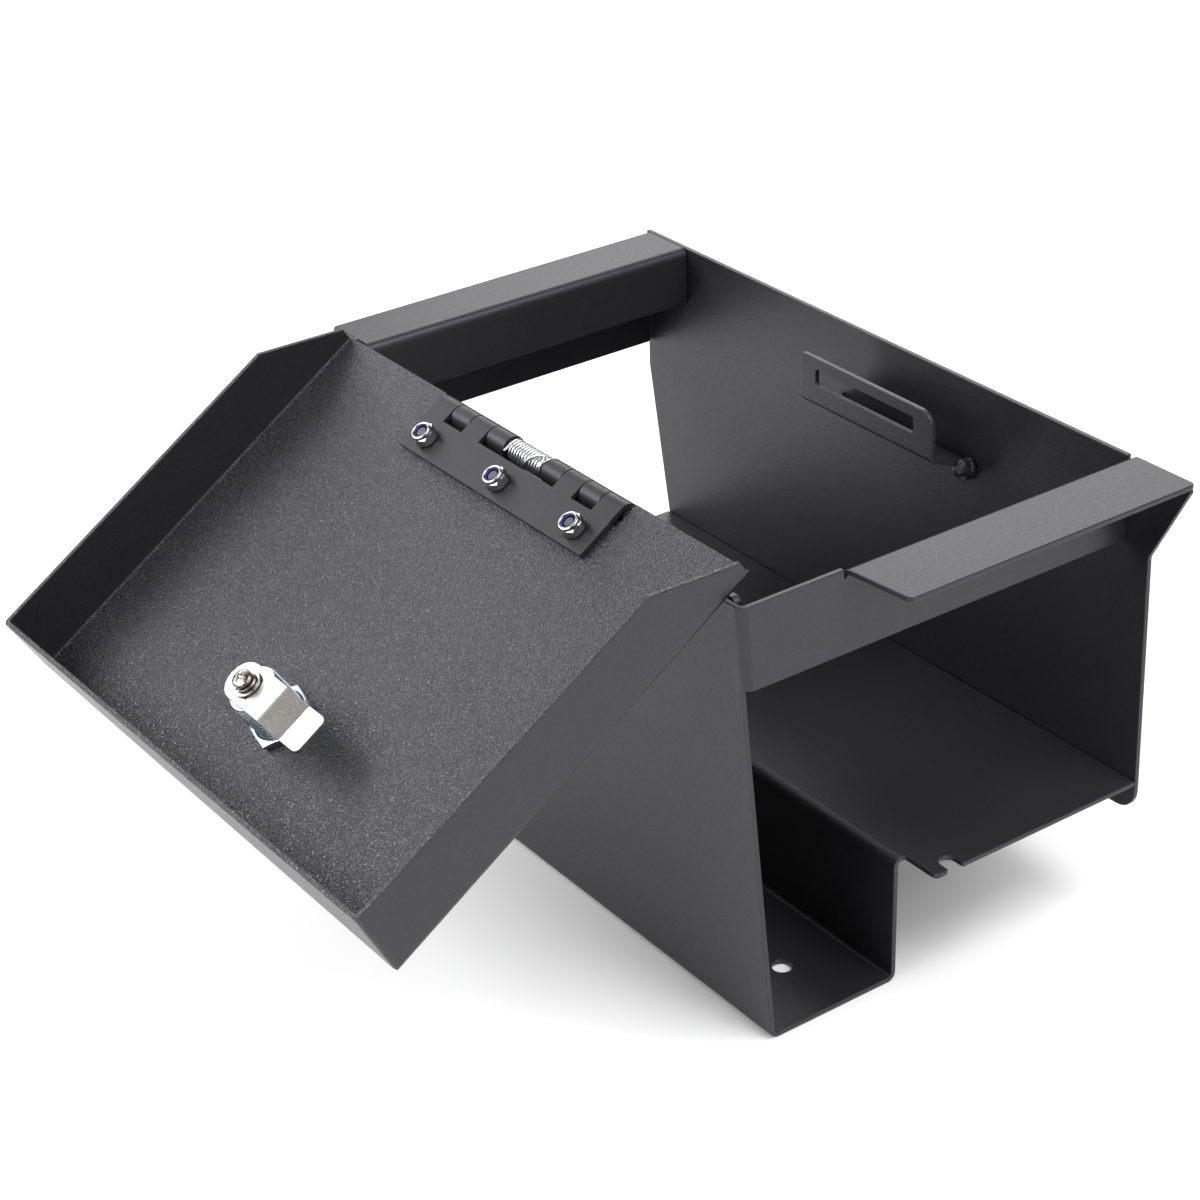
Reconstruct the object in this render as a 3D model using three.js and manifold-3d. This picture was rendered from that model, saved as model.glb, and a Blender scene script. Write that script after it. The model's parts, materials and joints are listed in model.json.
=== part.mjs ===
// Console safe, open, in millimetres with Z up
// X runs from the hinge wall to the latch wall and Y from the near end to the far end
import * as THREE from "three";
import { mergeVertices } from "three/addons/utils/BufferGeometryUtils.js";
import Module from "manifold-3d";

const wasm = await Module();
wasm.setup();

// Housing
const sheet = 2;
const width = 175;
const length = 279;
const height = 178.5;
const wallLean = 16;
const bendInside = 1.5;
const sheetFillet = 1;
const tipFillet = 2;
const gap = 0.3;
const floorWidth = 57.2;
const shelfRise = 50.3;
const shelfOverhang = 12.7;
const nearStripHeight = 31.8;
const nearFlangeReach = 28;
const nearFlangeStart = 44;
const nearFlangeSlant = 2.9;
const reliefWidth = 1;
const farStripHeight = 49.5;
const farPlateDepth = 27.8;
const farPlateStart = 20;
const farReturnInset = 17;
const farReturnReach = 32;
const lipHeight = 23.8;
const farTaperDrop = 60.5;
const farTaperAngle = 10.5;
const farCornerRadius = 1.5;
const hookWidth = 6;
const hookSetback = 2.8;
const notchWidth = 6.6;
const notchDepth = 7.4;
const seatHoleRadius = 3.75;
const seatHoleInset = 32.6;

// Latch wall and strike bracket
const wallDrop = 11.8;
const wallNearEdge = 12.5;
const wallWaistEdge = 10.7;
const wallWaistDrop = 35.1;
const wallWaistRadius = 3;
const wallCornerRadius = 8.5;
const gussetTipRadius = 1.2;
const bracketStandOff = 19;
const bracketNear = 78.5;
const bracketLength = 75;
const bracketTopDrop = 6.2;
const bracketPlateHeight = 19;
const bracketSlope = 6.8;
const bracketTabWidth = 12.5;
const bracketTabHeight = 8;
const bracketCornerRadius = 7;
const slotLength = 55.5;
const slotHeight = 6.4;
const slotDrop = 10.9;
const slotInset = 10.5;
const bracketBend = 1;
const bracketFootFillet = 4;
const bracketNotchFillet = 1.5;

// Hinge
const axisInset = 6.5;
const axisRise = 4.1;
const knuckleRadius = 4.8;
const pinRadius = 2.5;
const hingeNear = 67.4;
const knucklePitch = 11.15;
const knuckleGap = 0.4;
const rollAngle = 290;
const rollSteps = 16;
const bodyLeafDrop = 24;
const lidLeafReach = 25.7;
const leafNotch = 5.9;
const barThickness = 3;
const barHeight = 24.5;
const barTopDrop = 2.5;
const barTabDrop = 12;
const bodyBoltDistance = 17.4;
const lidBoltDistance = 14.4;
const boltSpacing = 45;
const boltShift = -0.5;
const barEndFillet = 2;
const barTopFillet = 3;
const leafFillet = 0.8;
const wireRadius = 0.65;
const curlPitch = 1.75;
const curlCount = 11;
const legLength = 3.2;
const springPlay = 0.4;
const stepsInCurl = 8;
const wireSides = 5;
const pinOverhang = 0.5;
const pinChamfer = 0.6;

// Fasteners
const shankRadius = 2.3;
const boltHeadRadius = 4.2;
const boltHeadHeight = 1.5;
const boltHeadSlope = 1.2;
const boltRim = 0.9;
const boltChamfer = 0.5;
const boltRecess = 0.8;
const nutFlats = 8;
const nutHexHeight = 3.7;
const nutHeight = 5;
const nutCollarRadius = 3.9;
const nutRingRadius = 3.2;
const nutRingHeight = 1.1;
const nutChamferWidth = 0.4;
const nutChamferHeight = 0.35;
const nutCollarChamfer = 0.5;
const nutLip = 0.3;
const nutRingDrop = 0.1;
const snug = 0.15;

// Lid
const lidAxisInset = 4.5;
const lidAxisDrop = 0.5;
const lidRestGap = 0.33;
const lidFrontClearance = 3.5;
const lidNearClearance = 3.8;
const lidFarClearance = 4.1;
const lidFlange = 27.4;
const lidBend = 3;
const lidPlanRadius = 2.2;
const lidHingeFlange = 8.1;
const lidTaperLength = 30.8;
const lidTaperRadius = 5;
const lidFlangeStart = 0.8;
const lidCutOut = 10.3;
const lidCutMargin = 1;

// Lock
const lockFrontDistance = 39.05;
const lockNearDistance = 119.4;
const lockFlangeRadius = 11;
const lockFlangeHeight = 2.7;
const barrelRadius = 9.5;
const barrelFlats = 16;
const barrelDepth = 21.5;
const barrelChamfer = 0.5;
const lockFlangeChamfer = 0.8;
const camBehindBarrel = 0.5;
const collarSink = 0.1;
const plugChamfer = 0.3;
const plugRadius = 6.2;
const collarRadius = 7.5;
const collarHeight = 1.7;
const keywayWidth = 2;
const keywayHeight = 8;
const keywayDepth = 15;
const postFlats = 8;
const lockNutFlats = 22;
const lockNutHeight = 2.7;
const lockNutTurn = 40;
const lockNutChamfer = 0.6;
const camWidth = 15.2;
const camBack = 11;
const camTopLength = 15.5;
const camStep = 5.6;
const camStepLength = 8.3;
const camReach = 34.9;
const camTipRadius = 2.5;
const camBend = 1;
const camScrewRadius = 2;
const camScrewDepth = 9.5;
const washerRadius = 5.4;
const washerHeight = 0.8;
const splitRadius = 4.2;
const splitHeight = 1;
const splitSlit = 0.8;
const screwHeadRadius = 3.7;
const screwHeadHeight = 2;
const recessWidth = 0.9;
const recessDepth = 1.2;
const recessReach = 2.3;
const headCrown = 1.3;
const headShoulder = 0.3;
const headCrownHeight = 0.5;
const headRimHeight = 1.2;

// Derived places
const far = 1000;
const bendOutside = bendInside + sheet;
const innerRight = width - sheet;
const edgeRight = innerRight - gap;
const leanAngle = Math.atan2(wallLean, height);
const stripBottom = height - nearStripHeight;
const farStripBottom = height - farStripHeight;
const lipNear = length - farPlateDepth;
const stepRight = wallLean + floorWidth;
const shelfMiddle = shelfRise + sheet / 2;
const taper = Math.tan(THREE.MathUtils.degToRad(farTaperAngle));
const farTaperStart = height - farTaperDrop;
const farEdgeAt = (z) => length - (farTaperStart - z) * taper;
const farReturn = length - farReturnInset;
const wallFaceAt = (z) => (wallLean * (height - z)) / height;
const axisHeight = height + axisRise;
const hingeLength = knucklePitch * 10;
const hingeFar = hingeNear + hingeLength;
const hingeMiddle = hingeNear + hingeLength / 2;
const innerKnuckle = knuckleRadius - sheet;
const boltHoleRadius = shankRadius + gap;
const bodyLeafRight = axisInset + knuckleRadius;
const bodyLeafLeft = bodyLeafRight - sheet;
const barRight = bodyLeafLeft - gap;
const barLeft = barRight - barThickness;
const boltPlaces = [-1, 0, 1].map((i) => hingeMiddle + boltShift + i * boltSpacing);
const lidNear = sheet + lidNearClearance;
const lidFar = lipNear - lidFarClearance;
const lockSide = lidNear + lockNearDistance;
const lidEdge = axisInset - lidAxisInset;
const lidReach = innerRight - lidFrontClearance - lidEdge;
const leafTop = sheet + gap;
const lockPlace = lidReach - lockFrontDistance;
const seatCentre = [wallLean + floorWidth / 2, (bendOutside + farEdgeAt(0)) / 2];

const cornerDistance = Math.hypot(axisInset, axisRise);
const cornerAngle = Math.atan2(axisRise, axisInset);
const openAngle = Math.PI + cornerAngle + Math.asin((lidAxisDrop - lidRestGap) / cornerDistance);

// Closed surface of a three.js geometry as a solid
function solid(geometry) {
  const bare = geometry.clone();
  bare.deleteAttribute("normal");
  bare.deleteAttribute("uv");
  const merged = mergeVertices(bare, 1e-4);
  return new wasm.Manifold(
    new wasm.Mesh({
      numProp: 3,
      vertProperties: merged.attributes.position.array,
      triVerts: new Uint32Array(merged.index.array),
    }),
  );
}

const arcStep = THREE.MathUtils.degToRad(18);

// Closed outline through corners [x, y, radius], rounded where a radius is given
function outline(corners) {
  const points = [];
  corners.forEach(([x, y, radius = 0], i) => {
    const here = new THREE.Vector2(x, y);
    if (!radius) {
      points.push(here);
      return;
    }
    const before = corners.at(i - 1);
    const after = corners[(i + 1) % corners.length];
    const back = new THREE.Vector2(before[0] - x, before[1] - y).normalize();
    const ahead = new THREE.Vector2(after[0] - x, after[1] - y).normalize();
    const half = Math.acos(THREE.MathUtils.clamp(back.dot(ahead), -1, 1)) / 2;
    const centre = back.clone().add(ahead).setLength(radius / Math.sin(half)).add(here);
    const start = here.clone().addScaledVector(back, radius / Math.tan(half)).sub(centre);
    const turn = (Math.PI - 2 * half) * -Math.sign(back.cross(ahead));
    const steps = Math.max(2, Math.ceil(Math.abs(turn) / arcStep));
    for (let k = 0; k <= steps; k++) {
      points.push(start.clone().rotateAround(new THREE.Vector2(), (turn * k) / steps).add(centre));
    }
  });
  return points;
}

// Outline of a bent sheet whose middle follows the given corners
function bentSheet(corners, thickness, insideRadius) {
  const line = corners.map(([x, y]) => new THREE.Vector2(x, y));
  const radius = insideRadius + thickness / 2;
  const left = [];
  const right = [];
  const offset = (point, normal) => {
    left.push(point.clone().addScaledVector(normal, thickness / 2));
    right.push(point.clone().addScaledVector(normal, -thickness / 2));
  };
  line.forEach((here, i) => {
    const from = i > 0 ? here.clone().sub(line[i - 1]).normalize() : null;
    const to = i < line.length - 1 ? line[i + 1].clone().sub(here).normalize() : null;
    const along = from ?? to;
    const normal = new THREE.Vector2(-along.y, along.x);
    if (!from || !to) {
      offset(here, normal);
      return;
    }
    const turn = Math.atan2(from.cross(to), from.dot(to));
    const side = Math.sign(turn) * radius;
    const reach = radius * Math.tan(Math.abs(turn) / 2);
    const centre = here.clone().addScaledVector(from, -reach).addScaledVector(normal, side);
    const steps = Math.max(2, Math.ceil(Math.abs(turn) / arcStep));
    for (let k = 0; k <= steps; k++) {
      const turned = normal.clone().rotateAround(new THREE.Vector2(), (turn * k) / steps);
      offset(centre.clone().addScaledVector(turned, -side), turned);
    }
  });
  return [...left, ...right.reverse()];
}

function circle(x, y, radius, sides = 24) {
  return Array.from({ length: sides }, (_, i) => {
    const angle = (2 * Math.PI * i) / sides;
    return new THREE.Vector2(x + radius * Math.cos(angle), y + radius * Math.sin(angle));
  });
}

const unit = {
  x: new THREE.Vector3(1, 0, 0),
  y: new THREE.Vector3(0, 1, 0),
  z: new THREE.Vector3(0, 0, 1),
};

const standing = {
  x: new THREE.Matrix4().makeBasis(unit.y, unit.z, unit.x),
  y: new THREE.Matrix4().makeBasis(unit.x, unit.z, unit.y.clone().negate()),
  z: new THREE.Matrix4(),
};

// Prism along an axis: outlines are (y, z) for x, (x, z) for y and (x, y) for z
function prismGeometry(axis, points, start, end, holes = []) {
  const shape = new THREE.Shape(points);
  holes.forEach((hole) => shape.holes.push(new THREE.Path(hole)));
  const geometry = new THREE.ExtrudeGeometry(shape, { depth: end - start, bevelEnabled: false });
  geometry.translate(0, 0, axis === "y" ? -end : start);
  return geometry.applyMatrix4(standing[axis]);
}

function prism(...shape) {
  return solid(prismGeometry(...shape));
}

function box(x0, x1, y0, y1, z0, z1) {
  const geometry = new THREE.BoxGeometry(x1 - x0, y1 - y0, z1 - z0);
  return solid(geometry.translate((x0 + x1) / 2, (y0 + y1) / 2, (z0 + z1) / 2));
}

// Body of revolution about Z from [radius, height] pairs that start and end on the axis
function turned(profile, sides = 24) {
  const points = profile.map(([r, z]) => new THREE.Vector2(r, z));
  return solid(new THREE.LatheGeometry(points, sides).rotateX(Math.PI / 2));
}

function hexagon(flats, turn = 0) {
  return Array.from({ length: 6 }, (_, i) => {
    const angle = THREE.MathUtils.degToRad(turn + 60 * i);
    const radius = flats / Math.sqrt(3);
    return new THREE.Vector2(radius * Math.cos(angle), radius * Math.sin(angle));
  });
}

const finishes = {
  housing: { color: 0x46474b, roughness: 0.55, metalness: 0.1 },
  lid: { color: 0x424347, roughness: 0.55, metalness: 0.1 },
  hinge: { color: 0x55565a, roughness: 0.5, metalness: 0.3 },
  steel: { color: 0xb9bcc0, roughness: 0.35, metalness: 0.9 },
  zinc: { color: 0xd8dbe0, roughness: 0.3, metalness: 0.9 },
  chrome: { color: 0xc9ccd2, roughness: 0.12, metalness: 1 },
  nylon: { color: 0x3a6cb4, roughness: 0.5, metalness: 0 },
};

function piece(group, name, finish, made) {
  const mesh = made.getMesh();
  const geometry = new THREE.BufferGeometry();
  geometry.setAttribute("position", new THREE.BufferAttribute(mesh.vertProperties, 3));
  geometry.setIndex(new THREE.BufferAttribute(mesh.triVerts, 1));
  const flat = geometry.toNonIndexed();
  flat.computeVertexNormals();
  const shown = new THREE.Mesh(flat, new THREE.MeshStandardMaterial(finishes[finish]));
  shown.name = name;
  group.add(shown);
  return shown;
}

// Folded housing sheet: leaning hinge wall, well floor, step, shelf, end strips, flange and plate
function foldedBody() {
  const wallMiddle = (z) => wallFaceAt(z) + sheet / 2 / Math.cos(leanAngle);
  const section = bentSheet(
    [
      [wallMiddle(height), height],
      [wallMiddle(sheet / 2), sheet / 2],
      [stepRight - sheet / 2, sheet / 2],
      [stepRight - sheet / 2, shelfMiddle],
      [edgeRight, shelfMiddle],
    ],
    sheet,
    bendInside,
  );
  const hookLeft = stepRight + hookSetback;
  const hookRight = hookLeft + hookWidth;
  const notchRight = hookRight + notchWidth;
  const notchRadius = notchWidth * 0.498;
  const plan = outline([
    [-far, bendOutside],
    [hookLeft, bendOutside, sheetFillet],
    [hookLeft, -shelfOverhang, tipFillet],
    [hookRight, -shelfOverhang, sheetFillet],
    [hookRight, notchDepth - shelfOverhang, notchRadius],
    [notchRight, notchDepth - shelfOverhang, notchRadius],
    [notchRight, -shelfOverhang, sheetFillet],
    [far, -shelfOverhang],
    [far, far],
    [-far, far],
  ]);
  const side = outline([
    [-far, -1],
    [farEdgeAt(-1), -1],
    [farEdgeAt(farStripBottom), farStripBottom],
    [-far, farStripBottom],
  ]);
  const lower = prism("y", section, -shelfOverhang - 1, length)
    .intersect(prism("z", plan, -1, height))
    .intersect(prism("x", side, -1, width))
    .subtract(box(-far, stepRight / 2, farReturn - bendOutside, far, -far, far));

  const middle = sheet / 2;
  const collar = [
    [edgeRight, middle],
    [middle, middle],
    [middle, farReturn - middle],
    [farReturnReach + wallLean, farReturn - middle],
  ];
  const leaning = new THREE.Matrix4().set(
    1, 0, -wallLean / height, wallLean,
    0, 1, 0, 0,
    0, 0, 1, 0,
    0, 0, 0, 1,
  );
  const upright = prismGeometry("z", bentSheet(collar, sheet, bendInside), farStripBottom, height);
  const reliefStart = nearFlangeStart - reliefWidth;
  const upper = solid(upright.applyMatrix4(leaning))
    .subtract(box(-far, far, -far, bendOutside, 0, stripBottom))
    .subtract(box(reliefStart, far, -far, bendOutside, height - bendOutside, far))
    .subtract(box(nearFlangeStart, far, -far, bendOutside, 0, far))
    .subtract(box(farPlateStart, far, lipNear, far, height - sheet / 2, far))
    .subtract(box(farReturnReach, far, lipNear, far, 0, far));

  const nearFold = bentSheet(
    [
      [middle, stripBottom],
      [middle, height - middle],
      [-nearFlangeReach, height - middle],
    ],
    sheet,
    bendInside,
  );
  const flangeEnd = outline([
    [nearFlangeStart, far],
    [nearFlangeStart, 0],
    [nearFlangeStart + nearFlangeSlant, -nearFlangeReach, tipFillet],
    [width, -nearFlangeReach, tipFillet],
    [width, far],
  ]);
  const near = prism("x", nearFold, nearFlangeStart, width)
    .intersect(prism("z", flangeEnd, 0, height + 1))
    .subtract(box(edgeRight, far, -far, far, 0, height - sheet));

  const farFold = bentSheet(
    [
      [length - middle, farStripBottom],
      [length - middle, height - middle],
      [lipNear + middle, height - middle],
      [lipNear + middle, height - lipHeight],
    ],
    sheet,
    bendInside,
  );
  const farShape = outline([
    [farPlateStart, farStripBottom],
    [edgeRight, farStripBottom, farCornerRadius],
    [edgeRight, height + 1],
    [farPlateStart, height + 1],
  ]);
  const farEnd = prism("x", farFold, farPlateStart, edgeRight).intersect(
    prism("y", farShape, lipNear - 1, length + 1),
  );

  const holes = [seatHoleInset, 2 * seatCentre[1] - seatHoleInset].map((y) =>
    prism("z", circle(seatCentre[0], y, seatHoleRadius, 32), -1, sheet + 1),
  );
  return holes.reduce(
    (made, hole) => made.subtract(hole),
    lower.add(upper).add(near).add(farEnd),
  );
}

function latchWall() {
  const bottom = shelfRise - wallDrop;
  const flangeUnder = height - sheet - gap;
  const shape = outline([
    [-wallNearEdge, bottom, wallCornerRadius],
    [farEdgeAt(bottom), bottom, tipFillet],
    [length, farTaperStart],
    [length, height],
    [sheet + gap, height],
    [sheet + gap, flangeUnder],
    [-nearFlangeReach, flangeUnder, gussetTipRadius],
    [-wallWaistEdge, height - wallWaistDrop, wallWaistRadius],
    [-wallNearEdge, shelfRise + sheet],
  ]);
  return prism("x", shape, innerRight, width);
}

function strikeBracket() {
  const plateMiddle = innerRight - bracketStandOff - sheet / 2;
  const tabMiddle = edgeRight - sheet / 2;
  const top = height - bracketTopDrop;
  const foot = top - bracketPlateHeight;
  const bottom = foot - bracketSlope - bracketTabHeight;
  const bracketFar = bracketNear + bracketLength;
  const fold = bentSheet(
    [
      [plateMiddle, top],
      [plateMiddle, foot],
      [tabMiddle, foot - bracketSlope],
      [tabMiddle, bottom],
    ],
    sheet,
    bracketBend,
  );
  const tabFoot = foot - bracketSlope - bracketNotchFillet;
  const nearTab = bracketNear + bracketTabWidth;
  const face = outline([
    [bracketNear, bottom, bracketFootFillet],
    [nearTab, bottom, bracketFootFillet],
    [nearTab, tabFoot, bracketNotchFillet],
    [bracketFar, tabFoot],
    [bracketFar, top, tipFillet],
    [bracketNear, top, bracketCornerRadius],
  ]);
  const slotNear = bracketNear + slotInset;
  const slotTop = height - slotDrop;
  const slot = outline([
    [slotNear, slotTop - slotHeight, sheetFillet],
    [slotNear + slotLength, slotTop - slotHeight, sheetFillet],
    [slotNear + slotLength, slotTop, sheetFillet],
    [slotNear, slotTop, sheetFillet],
  ]);
  const plateRight = plateMiddle + sheet;
  return prism("y", fold, bracketNear, bracketFar)
    .intersect(prism("x", face, 0, width))
    .subtract(prism("x", slot, plateMiddle - sheet, plateRight));
}

// Flat bar between the hinge wall and the body leaf, low at both ends to pass the lid flanges
function hingeBar() {
  const farEnd = farReturn - sheet - gap;
  const top = height - barTopDrop;
  const low = height - barTabDrop;
  const bottom = top - barHeight;
  const tallNear = lidNear + 2 * sheet;
  const tallFar = lidFar - 2 * sheet;
  const shape = outline([
    [sheet + gap, bottom],
    [farEnd, bottom],
    [farEnd, low, barEndFillet],
    [tallFar, low],
    [tallFar, top, barTopFillet],
    [tallNear, top, barTopFillet],
    [tallNear, low],
    [sheet + gap, low, barEndFillet],
  ]);
  const holes = boltPlaces.map((y) => circle(y, axisHeight - bodyBoltDistance, boltHoleRadius));
  return prism("x", shape, barLeft, barRight, holes);
}

// Rolled end of a leaf: outline in a plane where the leaf hangs down on the right of the roll
function rolledLeaf(drop) {
  const arc = (radius) =>
    Array.from({ length: rollSteps + 1 }, (_, i) => {
      const angle = THREE.MathUtils.degToRad((rollAngle * i) / rollSteps);
      return new THREE.Vector2(radius * Math.cos(angle), radius * Math.sin(angle));
    });
  return [
    new THREE.Vector2(knuckleRadius, -drop),
    ...arc(knuckleRadius),
    ...arc(innerKnuckle).reverse(),
    new THREE.Vector2(innerKnuckle, -drop),
  ];
}

// Knuckles counted from the near end, with the spring in places 4 and 5
const lidKnuckles = [0, 2, 7, 9];
const bodyKnuckles = [1, 3, 6, 8];

// Leaf about the hinge axis: it hangs down for the body and lies out along X for the lid
function leaf(onLid, drop, places, boltDistance) {
  const onFace = (y, down) => (onLid ? [down, y] : [y, -down]);
  const plate = outline([
    onFace(hingeNear, leafNotch),
    onFace(hingeFar, leafNotch),
    [...onFace(hingeFar, drop), leafFillet],
    [...onFace(hingeNear, drop), leafFillet],
  ]);
  const holes = boltPlaces.map((y) => circle(...onFace(y, boltDistance), boltHoleRadius));
  const flat = onLid
    ? prism("z", plate, -knuckleRadius, -innerKnuckle, holes)
    : prism("x", plate, innerKnuckle, knuckleRadius, holes);
  const roll = rolledLeaf(leafNotch + 1);
  const section = onLid ? roll.map(({ x, y }) => new THREE.Vector2(-y, -x)) : roll;
  return places.reduce((made, place) => {
    const start = hingeNear + place * knucklePitch + knuckleGap / 2;
    return made.add(prism("y", section, start, start + knucklePitch - knuckleGap));
  }, flat);
}

// Torsion spring round the pin: one unbroken wound wire with a straight leg at each end
function windSpring() {
  const radius = knuckleRadius - wireRadius - springPlay;
  const endAngle = openAngle - Math.PI / 2 + 2 * Math.PI * curlCount;
  const steps = Math.round((endAngle / (2 * Math.PI)) * stepsInCurl);
  const sides = wireSides;
  const centreLine = [];
  const advance = (curlPitch * endAngle) / (2 * Math.PI);
  const at = (angle) =>
    new THREE.Vector3(
      radius * Math.cos(angle),
      (curlPitch * angle) / (2 * Math.PI) - advance / 2,
      radius * Math.sin(angle),
    );
  for (let k = 0; k <= steps; k++) centreLine.push(at((endAngle * k) / steps));
  const first = centreLine[0].clone().add(new THREE.Vector3(0, 0, -legLength));
  const direction = new THREE.Vector3(-Math.sin(endAngle), 0, Math.cos(endAngle));
  const last = centreLine.at(-1).clone().addScaledVector(direction, legLength);
  centreLine.unshift(first);
  centreLine.push(last);

  const position = [];
  centreLine.forEach((point, i) => {
    const before = centreLine[Math.max(0, i - 1)];
    const after = centreLine[Math.min(centreLine.length - 1, i + 1)];
    const forward = after.clone().sub(before).normalize();
    const across = new THREE.Vector3().crossVectors(forward, unit.y).normalize();
    const upward = new THREE.Vector3().crossVectors(across, forward);
    for (let s = 0; s < sides; s++) {
      const angle = (2 * Math.PI * s) / sides;
      const edge = point
        .clone()
        .addScaledVector(across, wireRadius * Math.cos(angle))
        .addScaledVector(upward, wireRadius * Math.sin(angle));
      position.push(edge.x, edge.y, edge.z);
    }
  });
  const index = [];
  const rings = centreLine.length;
  for (let i = 0; i < rings - 1; i++) {
    for (let s = 0; s < sides; s++) {
      const a = i * sides + s;
      const b = i * sides + ((s + 1) % sides);
      index.push(a, a + sides, b, b, a + sides, b + sides);
    }
  }
  for (let s = 1; s < sides - 1; s++) {
    const end = (rings - 1) * sides;
    index.push(0, s, s + 1, end, end + s + 1, end + s);
  }
  let leastGap = Infinity;
  for (let i = 0; i < rings; i++) {
    for (let j = i + stepsInCurl - 2; j < rings; j++) {
      leastGap = Math.min(leastGap, centreLine[i].distanceTo(centreLine[j]) - 2 * wireRadius);
    }
  }
  console.log(`hinge spring: least gap to itself ${leastGap.toFixed(2)} mm`);
  const geometry = new THREE.BufferGeometry();
  geometry.setAttribute("position", new THREE.Float32BufferAttribute(position, 3));
  geometry.setIndex(index);
  return solid(geometry);
}

// Low round-headed bolt along +Z from the underside of its head
function bolt(grip) {
  const end = grip + nutHeight - boltRecess;
  return turned([
    [0, -boltHeadHeight],
    [boltHeadRadius - boltHeadSlope, -boltHeadHeight],
    [boltHeadRadius, -boltRim],
    [boltHeadRadius, 0],
    [shankRadius, 0],
    [shankRadius, end - boltChamfer],
    [shankRadius - boltChamfer, end],
    [0, end],
  ]);
}

// Locking nut: chamfered hexagon with a round collar that holds the nylon ring
function lockingNut() {
  const corner = nutFlats / Math.sqrt(3);
  const body = turned([
    [0, 0],
    [corner - nutChamferWidth, 0],
    [corner, nutChamferHeight],
    [corner, nutHexHeight - nutChamferHeight],
    [nutFlats / 2, nutHexHeight],
    [0, nutHexHeight],
  ]).intersect(prism("z", hexagon(nutFlats), -1, nutHexHeight + 1));
  const collar = turned([
    [0, nutHexHeight / 2],
    [nutCollarRadius, nutHexHeight / 2],
    [nutCollarRadius, nutHeight - nutCollarChamfer],
    [nutRingRadius + nutLip, nutHeight],
    [0, nutHeight],
  ]);
  const bore = prism("z", circle(0, 0, shankRadius + snug), -1, nutHeight + 1);
  const seat = nutHeight - nutRingHeight - snug;
  const pocket = prism("z", circle(0, 0, nutRingRadius + snug), seat, nutHeight + 1);
  return body.add(collar).subtract(bore).subtract(pocket);
}

function nutRing() {
  const bore = [circle(0, 0, shankRadius + snug)];
  const bottom = nutHeight - nutRingHeight;
  return prism("z", circle(0, 0, nutRingRadius), bottom, nutHeight - nutRingDrop, bore);
}

// Lid tray in its own frame: X from the hinge edge, Z up from the outer face
function lidPanel() {
  const trayBody = (inset, radius, low) => {
    const front = lidReach - inset;
    const back = inset ? -far : 0;
    const near = lidNear + inset;
    const away = lidFar - inset;
    const across = outline([
      [back, low],
      [front, low],
      [front, -inset, radius],
      [back, -inset],
    ]);
    const along = outline([
      [near, low],
      [away, low],
      [away, -inset, radius],
      [near, -inset, radius],
    ]);
    const plan = outline([
      [back, near],
      [front, near, lidPlanRadius - inset / 2],
      [front, away, lidPlanRadius - inset / 2],
      [back, away],
    ]);
    return prism("y", across, near - 1, away + 1)
      .intersect(prism("x", along, back, front + 1))
      .intersect(prism("z", plan, low, 1));
  };
  const taperCut = outline([
    [-1, -lidHingeFlange],
    [lidFlangeStart + 1, -lidHingeFlange],
    [lidTaperLength, -lidFlange, lidTaperRadius],
    [lidTaperLength + 1, -lidFlange - 1],
    [-1, -lidFlange - 1],
  ]);
  const barrelHole = circle(lockPlace, lockSide, barrelRadius + gap, 32);
  const flatHole = outline([
    [lockPlace - far, lockSide - barrelFlats / 2 - gap],
    [lockPlace + far, lockSide - barrelFlats / 2 - gap],
    [lockPlace + far, lockSide + barrelFlats / 2 + gap],
    [lockPlace - far, lockSide + barrelFlats / 2 + gap],
  ]);
  const lockHole = prism("z", barrelHole, -leafTop, 1).intersect(prism("z", flatHole, -leafTop, 1));
  const boltLine = lidAxisInset + lidBoltDistance;
  const boltHoles = boltPlaces.map((y) =>
    prism("z", circle(boltLine, y, boltHoleRadius), -leafTop, 1),
  );
  return boltHoles.reduce(
    (made, hole) => made.subtract(hole),
    trayBody(0, lidBend, -lidFlange)
      .subtract(trayBody(sheet, lidBend - sheet, -far))
      .subtract(prism("y", taperCut, 0, length))
      .subtract(box(-1, lidFlangeStart, 0, length, -far, -sheet))
      .subtract(box(-1, lidCutOut, hingeNear - lidCutMargin, hingeFar + lidCutMargin, -far, 1))
      .subtract(lockHole),
  );
}

// Lock pieces in a frame on the lock axis, with the outer face of the lid at height 0
const flangeTop = gap + lockFlangeHeight;
const collarTop = flangeTop - collarSink;
const camUnder = barrelDepth + camBehindBarrel;
const camTop = camUnder + sheet;
const postEnd = camTop - gap;
const washerBase = camTop + gap;
const splitBase = washerBase + washerHeight + gap;
const headBase = splitBase + splitHeight + gap;

function lockHousing() {
  const whole = turned(
    [
      [0, -barrelDepth],
      [barrelRadius - barrelChamfer, -barrelDepth],
      [barrelRadius, barrelChamfer - barrelDepth],
      [barrelRadius, gap],
      [lockFlangeRadius, gap],
      [lockFlangeRadius, flangeTop - lockFlangeChamfer],
      [lockFlangeRadius - lockFlangeChamfer, flangeTop],
      [0, flangeTop],
    ],
    32,
  );
  const flat = barrelFlats / 2;
  const collarSeat = collarTop - collarHeight - gap;
  return whole
    .subtract(box(-far, far, flat, far, -far, gap))
    .subtract(box(-far, far, -far, -flat, -far, gap))
    .subtract(prism("z", circle(0, 0, plugRadius + gap, 32), -barrelDepth - 1, far))
    .subtract(prism("z", circle(0, 0, collarRadius + gap, 32), collarSeat, far));
}

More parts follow.
